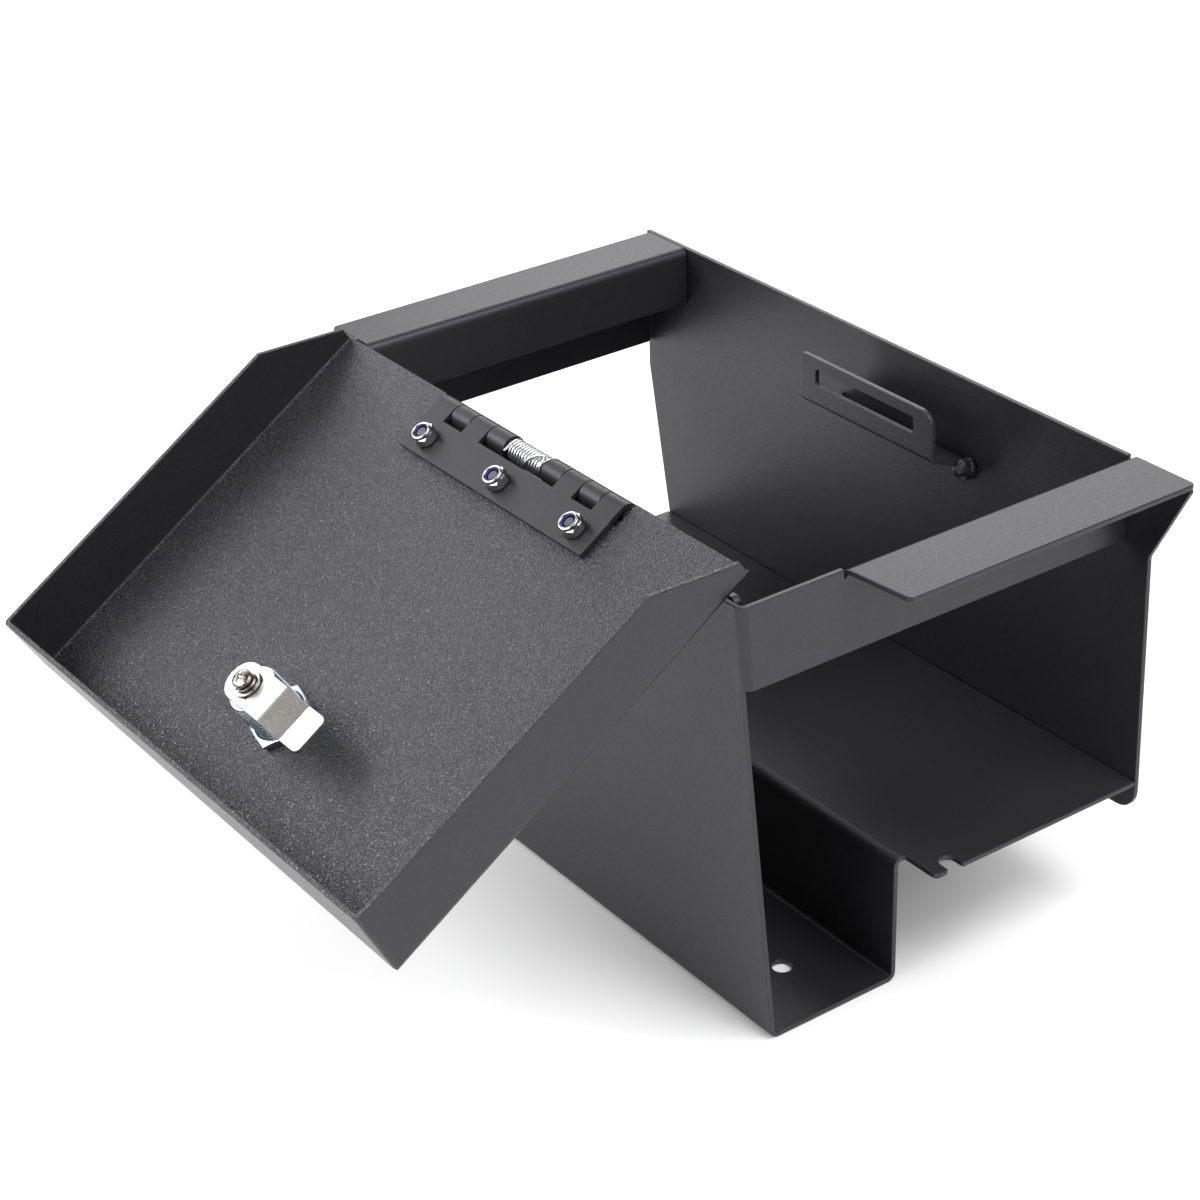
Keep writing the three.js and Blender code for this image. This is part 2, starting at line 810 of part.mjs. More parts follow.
function lockPlug() {
  const round = turned(
    [
      [0, gap - barrelDepth],
      [plugRadius, gap - barrelDepth],
      [plugRadius, collarTop - collarHeight],
      [collarRadius, collarTop - collarHeight],
      [collarRadius, collarTop - plugChamfer],
      [collarRadius - plugChamfer, collarTop],
      [0, collarTop],
    ],
    32,
  );
  const half = postFlats / 2;
  const screwHole = circle(0, 0, camScrewRadius + gap);
  return round
    .add(box(-half, half, -half, half, -postEnd, 1 - barrelDepth))
    .subtract(prism("z", screwHole, -postEnd - 1, camScrewDepth + gap - postEnd))
    .subtract(
      box(
        -keywayWidth / 2,
        keywayWidth / 2,
        -keywayHeight / 2,
        keywayHeight / 2,
        collarTop - keywayDepth,
        far,
      ),
    );
}

function lockNut() {
  const corner = lockNutFlats / Math.sqrt(3);
  const low = -leafTop - lockNutHeight;
  const chamfered = turned(
    [
      [0, low],
      [lockNutFlats / 2, low],
      [corner, low + lockNutChamfer],
      [corner, -leafTop - lockNutChamfer],
      [lockNutFlats / 2, -leafTop],
      [0, -leafTop],
    ],
    48,
  );
  return chamfered
    .intersect(prism("z", hexagon(lockNutFlats, lockNutTurn), low - 1, 0))
    .subtract(prism("z", circle(0, 0, barrelRadius + gap, 32), low - 1, 0));
}

function lockCam() {
  const middle = camUnder + sheet / 2;
  const section = bentSheet(
    [
      [camBack, -middle],
      [-camTopLength, -middle],
      [-camTopLength - camStepLength, camStep - middle],
      [-camReach, camStep - middle],
    ],
    sheet,
    camBend,
  );
  const half = camWidth / 2;
  const headRadius = camWidth * 0.49;
  const plan = outline([
    [-half, camBack, headRadius],
    [-half, -camReach, camTipRadius],
    [half, -camReach, camTipRadius],
    [half, camBack, headRadius],
  ]);
  const hole = postFlats / 2 + gap;
  return prism("x", section, -half, half)
    .intersect(prism("z", plan, -far, 0))
    .subtract(box(-hole, hole, -hole, hole, -camTop - 1, -camUnder + 1));
}

function camScrew() {
  const low = -headBase - screwHeadHeight;
  const half = recessWidth / 2;
  return turned([
    [0, low],
    [screwHeadRadius - headCrown, low],
    [screwHeadRadius - headShoulder, low + headCrownHeight],
    [screwHeadRadius, low + headRimHeight],
    [screwHeadRadius, -headBase],
    [camScrewRadius, -headBase],
    [camScrewRadius, camScrewDepth - postEnd],
    [0, camScrewDepth - postEnd],
  ])
    .subtract(box(-recessReach, recessReach, -half, half, low - 1, low + recessDepth))
    .subtract(box(-half, half, -recessReach, recessReach, low - 1, low + recessDepth));
}

function ring(radius, bore, low, top) {
  return prism("z", circle(0, 0, radius, 32), low, top, [circle(0, 0, bore)]);
}

const part = new THREE.Group();
const body = new THREE.Group();
body.position.set(-seatCentre[0], -seatCentre[1], 0);
part.add(body);

const hinge = new THREE.Group();
hinge.position.set(axisInset, 0, axisHeight);
body.add(hinge);
const lidSide = new THREE.Group();
lidSide.rotation.y = -openAngle;
hinge.add(lidSide);
const lid = new THREE.Group();
lid.position.set(-lidAxisInset, 0, -lidAxisDrop);
lidSide.add(lid);
const lock = new THREE.Group();
lock.position.set(lockPlace, lockSide, 0);
lid.add(lock);

piece(body, "folded_body", "housing", foldedBody());
piece(body, "latch_wall", "housing", latchWall());
piece(body, "strike_bracket", "housing", strikeBracket());
piece(body, "hinge_bar", "housing", hingeBar());
piece(hinge, "body_leaf", "hinge", leaf(false, bodyLeafDrop, bodyKnuckles, bodyBoltDistance));
const pinLength = hingeLength + 2 * pinOverhang;
const pin = turned([
  [0, 0],
  [pinRadius - pinChamfer, 0],
  [pinRadius, pinChamfer],
  [pinRadius, pinLength - pinChamfer],
  [pinRadius - pinChamfer, pinLength],
  [0, pinLength],
]);
const pinPiece = piece(hinge, "hinge_pin", "steel", pin);
pinPiece.rotation.x = -Math.PI / 2;
pinPiece.position.y = hingeNear - pinOverhang;
piece(hinge, "hinge_spring", "zinc", windSpring()).position.y = hingeMiddle;

const lidLeafLength = lidLeafReach - lidAxisInset;
piece(lidSide, "lid_leaf", "hinge", leaf(true, lidLeafLength, lidKnuckles, lidBoltDistance));
piece(lid, "lid_panel", "lid", lidPanel());

// Bolts, nuts and nylon rings in three rows along the hinge
const bodyGrip = barThickness + sheet + 3 * gap;
const lidGrip = 2 * sheet + 3 * gap;
boltPlaces.forEach((y, i) => {
  const set = [
    ["bolt", "steel", bolt],
    ["nut", "chrome", lockingNut],
    ["nut_ring", "nylon", nutRing],
  ];
  set.forEach(([kind, finish, make]) => {
    const along = kind === "bolt" ? 0 : 1;
    const onBody = piece(body, `body_${kind}_${i + 1}`, finish, make(bodyGrip));
    const start = barLeft - gap + along * bodyGrip;
    onBody.position.set(start, y, axisHeight - bodyBoltDistance);
    onBody.rotation.y = Math.PI / 2;
    const onLid = piece(lid, `lid_${kind}_${i + 1}`, finish, make(lidGrip));
    onLid.position.set(lidAxisInset + lidBoltDistance, y, gap - along * lidGrip);
    onLid.rotation.x = Math.PI;
  });
});

piece(lock, "lock_housing", "zinc", lockHousing());
piece(lock, "lock_nut", "zinc", lockNut());
piece(lock, "lock_plug", "chrome", lockPlug());
piece(lock, "lock_cam", "zinc", lockCam());
piece(lock, "cam_screw", "steel", camScrew());
const washerEnds = [-washerBase - washerHeight, -washerBase];
piece(lock, "cam_washer", "zinc", ring(washerRadius, camScrewRadius + gap, ...washerEnds));
const splitEnds = [-splitBase - splitHeight, -splitBase];
const splitWasher = ring(splitRadius, camScrewRadius + gap, ...splitEnds).subtract(
  box(0, far, -splitSlit / 2, splitSlit / 2, -far, 0),
);
piece(lock, "cam_lock_washer", "steel", splitWasher);

export default part;
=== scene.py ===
# Console safe with an open lid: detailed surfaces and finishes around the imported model
import json
import math

import bmesh
import bpy
import numpy as np
from mathutils import Matrix, Vector


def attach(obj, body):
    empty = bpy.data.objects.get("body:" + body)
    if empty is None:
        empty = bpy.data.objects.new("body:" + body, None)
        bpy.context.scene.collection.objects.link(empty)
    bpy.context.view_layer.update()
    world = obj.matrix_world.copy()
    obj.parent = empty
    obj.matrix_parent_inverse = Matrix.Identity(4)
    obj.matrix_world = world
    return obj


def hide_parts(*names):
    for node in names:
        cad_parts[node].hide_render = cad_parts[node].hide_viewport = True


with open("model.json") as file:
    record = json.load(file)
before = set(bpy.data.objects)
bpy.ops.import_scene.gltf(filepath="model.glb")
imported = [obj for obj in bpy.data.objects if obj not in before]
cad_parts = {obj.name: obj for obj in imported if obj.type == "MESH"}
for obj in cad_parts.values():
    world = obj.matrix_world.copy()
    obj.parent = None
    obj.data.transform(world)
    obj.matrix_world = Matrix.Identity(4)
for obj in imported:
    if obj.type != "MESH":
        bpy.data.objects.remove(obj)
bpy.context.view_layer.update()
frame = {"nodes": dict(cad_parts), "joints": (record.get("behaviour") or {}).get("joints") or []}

bl_info = {
    "name": "Console Safe",
    "version": (1, 0, 0),
    "blender": (4, 5, 0),
    "location": "View3D > Sidebar > Safe",
    "description": "Folded sheets, hinge, fasteners and cam lock of an open console safe",
    "category": "Object",
}

MM = 0.001
JOINTS = {joint["name"]: joint for joint in frame["joints"]}
OPEN_ANGLE = math.radians(JOINTS["lid_hinge"]["range_deg"][1])

# Places of the solids in millimetres, as in the part
SEAT_CENTRE = (44.6, 130.315)
AXIS_INSET = 6.5
AXIS_HEIGHT = 182.6
HINGE_NEAR = 67.4
HINGE_LENGTH = 111.5
HINGE_MIDDLE = HINGE_NEAR + HINGE_LENGTH / 2
BOLT_OFFSET = 0.5
BOLT_SPACING = 45
BOLT_PLACES = tuple(HINGE_MIDDLE - BOLT_OFFSET + BOLT_SPACING * i for i in (-1, 0, 1))
LID_INSET = 4.5
LID_DROP = 0.5
LOCK_PLACE = (128.45, 125.2)
BODY_BOLT_START = 5.7
BODY_BOLT_DROP = 17.4
BODY_GRIP = 5.9
LID_BOLT_LINE = 18.9
LID_BOLT_START = 0.3
LID_GRIP = 4.9
NUT_HEIGHT = 5
SCREW_SEAT = 27.2

# How the lid's flanges spring, in millimetres, and the share of it that is left at the far end
FLANGE_SINK = 1.8
FLANGE_LEAN = 3.0
FLANGE_REACH = 8.0
FLANGE_FAR_SHARE = 0.35

# Hinge pin and the spring wound on it, in millimetres
PIN_RADIUS = 2.5
PIN_OVERHANG = 0.5
PIN_ROUNDING = 0.5
SPRING_LEG = 3.2
LEG_POINTS = 6
TURN_POINTS = 32

# Stops of the leg that crosses the coil: degrees round the pin, then millimetres along it
CROSSING_AROUND = (226, 200, 165, 130, 104, 96, 112, 150)
CROSSING_ALONG = (0.6, -0.4, -2.0, -4.4, -6.8, -8.7, -10.0, -10.4)
CROSSING_CLEARANCE = 0.2
CROSSING_POINTS = 60
CROSSING_MEAN = 4

# Sides of the turned surfaces, the finest for nuts, barrel and screw
PIN_SIDES = 32
BOLT_SIDES = 36
RING_SIDES = 48
WASHER_SIDES = 64
FINE_SIDES = 96

# Weld lumps at the bracket's foot in millimetres: middle, then half sizes
BRACKET_WELDS = (
    ((122.6, -52.2, 146.6), (4.2, 2.4, 3.4)),
    ((126.6, -51.4, 145.2), (2.6, 3.0, 3.8)),
    ((127.2, 22.4, 146.0), (1.6, 2.4, 3.0)))
WELD_RIPPLE = 0.08

# Clean-up of the meshes: merging distances, angles in degrees, and the rounding of cut edges
SURFACE_DOUBLES = 0.002 * MM
SOLID_DOUBLES = 0.001 * MM
FLAT_ANGLE = 0.4
CUT_ANGLE = 32
CUT_SEGMENTS = 2
CAM_EDGE_SHARE = 1.6

# What the node group of a finish puts out
FINISH_OUTPUTS = (
    ("Colour", "NodeSocketColor"), ("Roughness", "NodeSocketFloat"), ("Height", "NodeSocketFloat"))

# Powder coat: noise levels at which grains and flecks rise, the flecks being partly grain and partly
# painted sparkle, and the slow drift of tone and gloss
GRAIN_RISE = (0.36, 0.64)
GRAIN_DETAIL = 1.5
GRAIN_ROUGHNESS = 0.55
FLECK_RISE = (0.58, 0.68)
FLECK_FINENESS = 1.7
DRIFT_SCALE = 22.0
DRIFT_DETAIL = 3.0
TONE_DRIFT = (0.92, 1.08)
GLOSS_DRIFT = (0.07, -0.07)
COAT_RELIEF = 0.2 * MM
COAT_CAST = (0.94, 0.92, 1.0)
RING_GRAIN = 0.4 * MM
RING_FLECK = (0.05, 0.05, 0.3)

# Cosines of the angle from a sheet's broad side between which its grain and its painted sparkle come back
BROAD_TURN = (0.5, 0.8)

# Plate: stains that darken it and scratches that change its gloss
STAIN_SCALE = 260.0
STAIN_DETAIL = 4.0
STAIN_RISE = (0.35, 0.75)
STAIN_TONE = (1.0, 0.86)
SCRATCH_DETAIL = 3.0
SCRATCH_GLOSS = (-0.08, 0.1)
PLATE_RELIEF = 0.05 * MM
NOISE_MIDDLE = (0.3, 0.7)

# Floor just under the safe in metres, its faint glow, and the room's light on the safe and to the camera
FLOOR_DROP = 0.0002
FLOOR_ROUGHNESS = 0.9
FLOOR_GLOW = 0.06
ROOM_LIGHT = 0.06
BACKDROP_LIGHT = 1.0

# Soft boxes round the safe: name, azimuth and elevation in degrees, power in watts
LAMP_TARGET = (0.02, 0.0, 0.09)
LAMP_DISTANCE = 1.9
LAMP_SIZE = (1.2, 1.0)
LAMPS = (
    ("back right box", 45, 30, 12.6), ("back box", 90, 30, 10.0), ("back left box", 135, 30, 25.0),
    ("left box", 180, 30, 16.0), ("front box", 270, 30, 14.0), ("high front box", 292, 60, 28.0))

# Camera fitted to the photograph: sensor and lens in millimetres, place in metres, and its two directions
CAMERA_SENSOR = 36
CAMERA_LENS = 84.4367
CAMERA_SHIFT = (0.01245, 0.0016)
CAMERA_CLIP = (0.05, 50)
CAMERA_PLACE = (-0.526367, -0.736577, 0.609774)
CAMERA_RIGHT = (0.810362, -0.585146, -0.030301)
CAMERA_AHEAD = (0.500684, 0.718399, -0.482927)


def shift(x, y, z):
    """Matrix that moves by x, y, z"""
    made = np.eye(4)
    made[:3, 3] = (x, y, z)
    return made


def turn(axis, angle):
    """Matrix that turns about an axis by an angle in radians"""
    return np.array(Matrix.Rotation(angle, 4, axis))


BODY = shift(-SEAT_CENTRE[0], -SEAT_CENTRE[1], 0)
HINGE = BODY @ shift(AXIS_INSET, 0, AXIS_HEIGHT)
LID = HINGE @ turn("Y", -OPEN_ANGLE) @ shift(-LID_INSET, 0, -LID_DROP)
LOCK = LID @ shift(*LOCK_PLACE, 0)


class SafeSizes(bpy.types.PropertyGroup):
    """Sizes of the fine detail and the width of the floor"""
    sheet_edge: bpy.props.FloatProperty(
        name="Sheet edge", description="Rounding of the cut edges of the folded sheets",
        default=0.35 * MM, min=0, unit="LENGTH")
    leaf_edge: bpy.props.FloatProperty(
        name="Leaf edge", description="Rounding of the edges of the hinge leaves",
        default=0.2 * MM, min=0, unit="LENGTH")
    fine_edge: bpy.props.FloatProperty(
        name="Fine edge", description="Rounding of the edges of the lock's small parts",
        default=0.15 * MM, min=0, unit="LENGTH")
    wire_radius: bpy.props.FloatProperty(
        name="Wire radius", description="Radius of the hinge spring's wire",
        default=0.48 * MM, min=0, unit="LENGTH")
    coil_radius: bpy.props.FloatProperty(
        name="Coil radius", description="Radius of the hinge spring to the middle of its wire",
        default=3.75 * MM, min=0, unit="LENGTH")
    coil_pitch: bpy.props.FloatProperty(
        name="Coil pitch", description="Distance from one turn of the spring to the next",
        default=1.52 * MM, min=0, unit="LENGTH")
    coil_count: bpy.props.IntProperty(
        name="Coils", description="Full turns of the hinge spring", default=13, min=1)
    nut_flats: bpy.props.FloatProperty(
        name="Nut width", description="Width across the flats of a locking nut",
        default=8 * MM, min=0, unit="LENGTH")
    lock_nut_flats: bpy.props.FloatProperty(
        name="Lock nut width", description="Width across the flats of the lock's nut",
        default=22 * MM, min=0, unit="LENGTH")
    bolt_pitch: bpy.props.FloatProperty(
        name="Bolt thread", description="Pitch of the bolts' threads",
        default=0.8 * MM, min=0, unit="LENGTH")
    barrel_pitch: bpy.props.FloatProperty(
        name="Lock thread", description="Pitch of the thread on the lock's barrel",
        default=1.25 * MM, min=0, unit="LENGTH")
    grain: bpy.props.FloatProperty(
        name="Coat grain", description="Size of the grains in the powder coat",
        default=0.7 * MM, min=0, unit="LENGTH")
    floor_width: bpy.props.FloatProperty(
        name="Floor width", description="Width of the pale floor", default=2.6, min=1, unit="LENGTH")


def colour(label, description, value):
    """Colour property with three channels"""
    return bpy.props.FloatVectorProperty(
        name=label, description=description, default=value, size=3, min=0, max=1, subtype="COLOR")


class SafeColours(bpy.types.PropertyGroup):
    """Colours of the coats, the plates, the nylon and the floor"""
    coat: colour("Coat", "Powder coat of the housing and lid", (0.0125, 0.0125, 0.0145))
    # The lighter flecks are partly grain and partly painted sparkle
    fleck: colour("Coat flecks", "Lighter grains in the powder coat", (0.19, 0.19, 0.2))
    leaf: colour("Hinge coat", "Satin coat of the hinge leaves", (0.014, 0.014, 0.016))
    screw: colour("Screw", "Bright steel of the cam's screw and washers", (0.42, 0.39, 0.37))
    pin: colour("Pin", "Dull steel of the hinge pin", (0.03, 0.03, 0.033))
    bolt: colour("Bolts", "Dull zinc of the hinge bolts", (0.1, 0.1, 0.11))
    spring: colour("Spring", "Zinc-plated wire of the hinge spring", (0.7, 0.71, 0.73))
    nut: colour("Nut plating", "Polished plate of the locking nuts", (0.62, 0.61, 0.6))
    zinc: colour("Blue zinc", "Blue-white zinc plate of the lock's barrel and nut", (0.4, 0.47, 0.53))
    cam: colour("Cam", "Bright zinc plate of the cam", (0.46, 0.44, 0.415))
    chrome: colour("Chrome", "Bright plate of the lock's plug", (0.8, 0.81, 0.83))
    nylon: colour("Nylon", "Ring inside each locking nut", (0.03, 0.028, 0.16))
    floor: colour("Floor", "Pale floor", (0.96, 0.96, 0.96))


def finish_group(name, inputs):
    """Node group with the given inputs and a finish's three outputs, and its input and output nodes"""
    tree = bpy.data.node_groups.new(name, "ShaderNodeTree")
    for label, kind, value in inputs:
        tree.interface.new_socket(name=label, in_out="INPUT", socket_type=kind).default_value = value
    for label, kind in FINISH_OUTPUTS:
        tree.interface.new_socket(name=label, in_out="OUTPUT", socket_type=kind)
    return tree, tree.nodes.new("NodeGroupInput").outputs, tree.nodes.new("NodeGroupOutput").inputs


def add(tree, kind, values=None, **settings):
    """Node with its settings and the values or links of its inputs"""
    node = tree.nodes.new(kind)
    for key, value in settings.items():
        setattr(node, key, value)
    for key, value in (values or {}).items():
        if isinstance(value, bpy.types.NodeSocket):
            tree.links.new(value, node.inputs[key])
        else:
            node.inputs[key].default_value = value
    return node


def worked(tree, operation, *values, **settings):
    """Result of a Math node"""
    return add(tree, "ShaderNodeMath", dict(enumerate(values)), operation=operation, **settings).outputs[0]


def ranged(tree, value, source, target=(0.0, 1.0), **settings):
    """Value carried from the source range to the target range and held inside it"""
    ends = {"From Min": source[0], "From Max": source[1], "To Min": target[0], "To Max": target[1]}
    return add(tree, "ShaderNodeMapRange", {"Value": value, **ends}, **settings).outputs["Result"]


def noise(tree, place, scale, detail, roughness=0.5):
    """Noise at a place, with so many waves in a metre"""
    values = {"Vector": place, "Scale": scale, "Detail": detail, "Roughness": roughness}
    return add(tree, "ShaderNodeTexNoise", values).outputs["Fac"]


def scaled(tree, vector, factor):
    """Vector or colour times a factor"""
    return add(tree, "ShaderNodeVectorMath", {0: vector, "Scale": factor}, operation="SCALE").outputs[0]


def put_out(tree, result, *values):
    """Links a finish's colour, roughness and height to the group's outputs"""
    for (label, kind), value in zip(FINISH_OUTPUTS, values):
        tree.links.new(value, result[label])
    return tree


def grain_group():
    """Powder coat: noise sharpened into proud grains, finer noise cut into lighter flecks that are partly
    grain and partly painted sparkle, and slow noise that drifts the tone. Faces that turn away from the
    broad side keep only a share of the grains and of the painted sparkle."""
    tree, given, result = finish_group(
        "Powder grain",
        [("Coat", "NodeSocketColor", (0.05, 0.05, 0.05, 1)),
         ("Fleck", "NodeSocketColor", (0.2, 0.2, 0.2, 1)),
         ("Grain", "NodeSocketFloat", 0.7 * MM),
         ("Fleck and painted sparkle share", "NodeSocketFloat", 0.5),
         ("Gloss", "NodeSocketFloat", 0.4),
         ("Broad side", "NodeSocketVector", (0.0, 0.0, 1.0)),
         ("Edge share of grain and painted sparkle", "NodeSocketFloat", 1.0)])
    here = add(tree, "ShaderNodeTexCoord").outputs
    facing = add(tree, "ShaderNodeVectorMath",
                 {0: here["Normal"], 1: given["Broad side"]}, operation="DOT_PRODUCT").outputs["Value"]
    painted_sparkle_and_grain_kept = ranged(tree, worked(tree, "ABSOLUTE", facing), BROAD_TURN, (given["Edge share of grain and painted sparkle"], 1.0))

    scale = worked(tree, "DIVIDE", 1.0, given["Grain"])
    grains = noise(tree, here["Object"], scale, GRAIN_DETAIL, GRAIN_ROUGHNESS)
    specks = noise(tree, here["Object"], worked(tree, "MULTIPLY", scale, FLECK_FINENESS), 0.0)
    slow = noise(tree, here["Object"], DRIFT_SCALE, DRIFT_DETAIL)
    proud = ranged(tree, grains, GRAIN_RISE, interpolation_type="SMOOTHSTEP")
    flecks = worked(tree, "MULTIPLY", ranged(tree, specks, FLECK_RISE), given["Fleck and painted sparkle share"])

    # Lighter flecks, partly grain and partly painted sparkle, kept in full only where the face looks along
    # the broad side
    flecked = add(tree, "ShaderNodeMix",
                  {0: worked(tree, "MULTIPLY", flecks, painted_sparkle_and_grain_kept), 6: given["Coat"], 7: given["Fleck"]},
                  data_type="RGBA").outputs[2]
    toned = scaled(tree, flecked, ranged(tree, slow, NOISE_MIDDLE, TONE_DRIFT))
    rough = worked(tree, "ADD", given["Gloss"], ranged(tree, grains, NOISE_MIDDLE, GLOSS_DRIFT))
    return put_out(tree, result, toned, rough, worked(tree, "MULTIPLY", proud, painted_sparkle_and_grain_kept))


def plate_group():
    """Plated metal: fine scratches from noise stretched along one direction, and soft cloudy stains"""
    tree, given, result = finish_group(
        "Plated metal",
        [("Tint", "NodeSocketColor", (0.8, 0.8, 0.8, 1)),
         ("Polish", "NodeSocketFloat", 0.25),
         ("Stretch", "NodeSocketVector", (2500.0, 250.0, 2500.0))])
    place = add(tree, "ShaderNodeTexCoord").outputs["Object"]
    drawn = add(tree, "ShaderNodeVectorMath",
                {0: place, 1: given["Stretch"]}, operation="MULTIPLY").outputs[0]
    scratches = noise(tree, drawn, 1.0, SCRATCH_DETAIL)
    clouds = noise(tree, place, STAIN_SCALE, STAIN_DETAIL)
    toned = scaled(tree, given["Tint"], ranged(tree, clouds, STAIN_RISE, STAIN_TONE))
    rough = worked(
        tree, "ADD", given["Polish"], ranged(tree, scratches, NOISE_MIDDLE, SCRATCH_GLOSS), use_clamp=True)
    return put_out(tree, result, toned, rough, scratches)


def made_once(name, build):
    """Node group of that name, built the first time"""
    return bpy.data.node_groups.get(name) or build()


def finish_with(name, group, values, relief, metallic=0.0, specular=0.5, cast=(1, 1, 1)):
    """Material whose colour, roughness and bump come from a node group; relief is its strength and depth"""
    found = bpy.data.materials.get(name)
    if found:
        return found
    material = bpy.data.materials.new(name)
    material.use_nodes = True
    tree = material.node_tree
    shader = tree.nodes["Principled BSDF"]
    pattern = add(tree, "ShaderNodeGroup", node_tree=group)
    for key, value in values.items():
        pattern.inputs[key].default_value = value
    bump = add(tree, "ShaderNodeBump",
               {"Height": pattern.outputs["Height"], "Strength": relief[0], "Distance": relief[1]})
    shader.inputs["Metallic"].default_value = metallic
    shader.inputs["Specular IOR Level"].default_value = specular
    if not metallic:
        shader.inputs["Specular Tint"].default_value = (*cast, 1)
    tree.links.new(pattern.outputs["Colour"], shader.inputs["Base Color"])
    tree.links.new(pattern.outputs["Roughness"], shader.inputs["Roughness"])
    tree.links.new(bump.outputs["Normal"], shader.inputs["Normal"])
    return material


def coat(context, name, base, share, relief, gloss, specular=0.54, broad=(0, 0, 1), edge=1.0):
    """Powder coat with a share of lighter flecks, partly grain and partly painted sparkle: faces that look
    along broad keep all their grain and flecks, and faces across it the share given by edge"""
    sizes, colours = context.scene.safe_sizes, context.scene.safe_colours
    return finish_with(
        name, made_once("Powder grain", grain_group),
        {"Coat": (*getattr(colours, base), 1), "Fleck": (*colours.fleck, 1), "Grain": sizes.grain,
         "Fleck and painted sparkle share": share, "Gloss": gloss, "Broad side": broad, "Edge share of grain and painted sparkle": edge},
        (relief, COAT_RELIEF), specular=specular, cast=COAT_CAST)


def housing_coat(context):
    """Smooth powder coat that the housing and its welds share"""
    return coat(context, "housing coat", "coat", share=0.03, relief=0.12, gloss=0.4)


def ring_nylon(context):
    """Dull blue nylon of the rings in the locking nuts"""
    return finish_with(
        "ring nylon", made_once("Powder grain", grain_group),
        {"Coat": (*context.scene.safe_colours.nylon, 1), "Fleck": (*RING_FLECK, 1), "Grain": RING_GRAIN,
         "Fleck and painted sparkle share": 0.3, "Gloss": 0.55},
        (0.1, PLATE_RELIEF), specular=0.25)


def plated(context, name, tint, polish, relief=0.1, stretch=(2500.0, 250.0, 2500.0)):
    """Plated or bare metal with its scratches stretched along one direction"""
    colours = context.scene.safe_colours
    return finish_with(
        name, made_once("Plated metal", plate_group),
        {"Tint": (*getattr(colours, tint), 1), "Polish": polish, "Stretch": stretch},
        (relief, PLATE_RELIEF), metallic=1.0)


def quads(grid, around, along):
    """Faces of a grid of points: around closes each row to a ring, along joins the last row to the first"""
    rows, columns = grid.shape[:2]
    row = np.arange(rows if along else rows - 1)[:, None]
    column = np.arange(columns if around else columns - 1)[None, :]
    down, right = (row + 1) % rows, (column + 1) % columns
    above, below = row * columns, down * columns
    corners = np.broadcast_arrays(above + column, above + right, below + right, below + column)
    return np.stack(corners, axis=-1).reshape(-1, 4)


def settle(mesh, crease):
    """Merges doubled points, turns the faces outwards and smooths all but the creases"""
    work = bmesh.new()
    work.from_mesh(mesh)
    bmesh.ops.remove_doubles(work, verts=work.verts, dist=SURFACE_DOUBLES)
    bmesh.ops.recalc_face_normals(work, faces=work.faces)
    work.to_mesh(mesh)
    work.free()
    mesh.polygons.foreach_set("use_smooth", np.ones(len(mesh.polygons), bool))
    mesh.set_sharp_from_angle(angle=math.radians(crease))


def show(mesh, name, body, slot, material, *nodes):
    """Object of a mesh that rides on a body and stands for the given nodes; its slot is not used"""
    mesh.materials.clear()
    mesh.materials.append(material)
    made = bpy.data.objects.new(name, mesh)
    bpy.context.scene.collection.objects.link(made)
    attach(made, body)
    if nodes:
        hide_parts(*nodes)
    return made


def moved(points, matrix):
    """Points put through a four by four matrix"""
    return (np.c_[points, np.ones(len(points))] @ matrix.T)[:, :3]


def surface(name, grids, place, crease=35):
    """Mesh of one or more grids of points in millimetres, each (points, around, along), put in place"""
    points, faces, count = [], [], 0
    for grid, around, along in grids:
        flat = grid.reshape(-1, 3)
        points.append(moved(flat, place) * MM)
        faces.append(quads(grid, around, along) + count)
        count += len(flat)
    mesh = bpy.data.meshes.new(name)
    mesh.from_pydata(np.concatenate(points).tolist(), [], np.concatenate(faces).tolist())
    settle(mesh, crease)
    return mesh


def turned(angle, radius, height):
    """Grid of points (r cos t, r sin t, z), a row for each radius and height and a column for each angle"""
    radius, height = np.broadcast_arrays(radius, height)
    return np.stack([radius * np.cos(angle), radius * np.sin(angle), height], -1)


def circle(sides, start=0.0):
    """Angles of equal steps round a circle, from a start in degrees"""
    return math.radians(start) + 2 * np.pi * np.arange(sides) / sides


def spun(profile, sides, start=0.0):
    """Turned surface of a profile of rows (r, z)"""
    profile = np.asarray(profile, float)
    angle = circle(sides, start)
    radius = np.broadcast_to(profile[:, :1], (len(profile), sides))
    return turned(angle, radius, profile[:, 1:2])


def hexagon(flats, low, high, rim, drop, sides, start=0.0):
    """Side of a nut in four rings: the rim, the flats where a cone cuts them, and both again from above.
    The cone rises from the rim by drop (side - rim) / (corner - rim)."""
    angle = circle(sides, start)
    across = (angle - math.radians(start)) % (np.pi / 3) - np.pi / 6
    side = flats / 2 / np.cos(across)
    corner = flats / math.sqrt(3)
    rise = drop * (side - rim) / (corner - rim)
    edge = np.full(sides, rim)
    levels = np.stack([np.full(sides, low), low + rise, high - rise, np.full(sides, high)])
    return turned(angle, np.stack([edge, side, side, edge]), levels)


def rounded(corners, steps=5):
    """Profile through corners (r, z, rounding): each rounding is a quadratic curve between the two sides"""
    corners = np.asarray(corners, float)
    points = []
    for i, (r, z, size) in enumerate(corners):
        here = np.array([r, z])
        if size == 0 or i in (0, len(corners) - 1):
            points.append(here[None])
            continue
        back, ahead = corners[i - 1][:2] - here, corners[i + 1][:2] - here
        first = here + back / np.linalg.norm(back) * size
        last = here + ahead / np.linalg.norm(ahead) * size
        t = np.linspace(0, 1, steps)[:, None]
        points.append((1 - t) ** 2 * first + 2 * t * (1 - t) * here + t ** 2 * last)
    return np.concatenate(points)


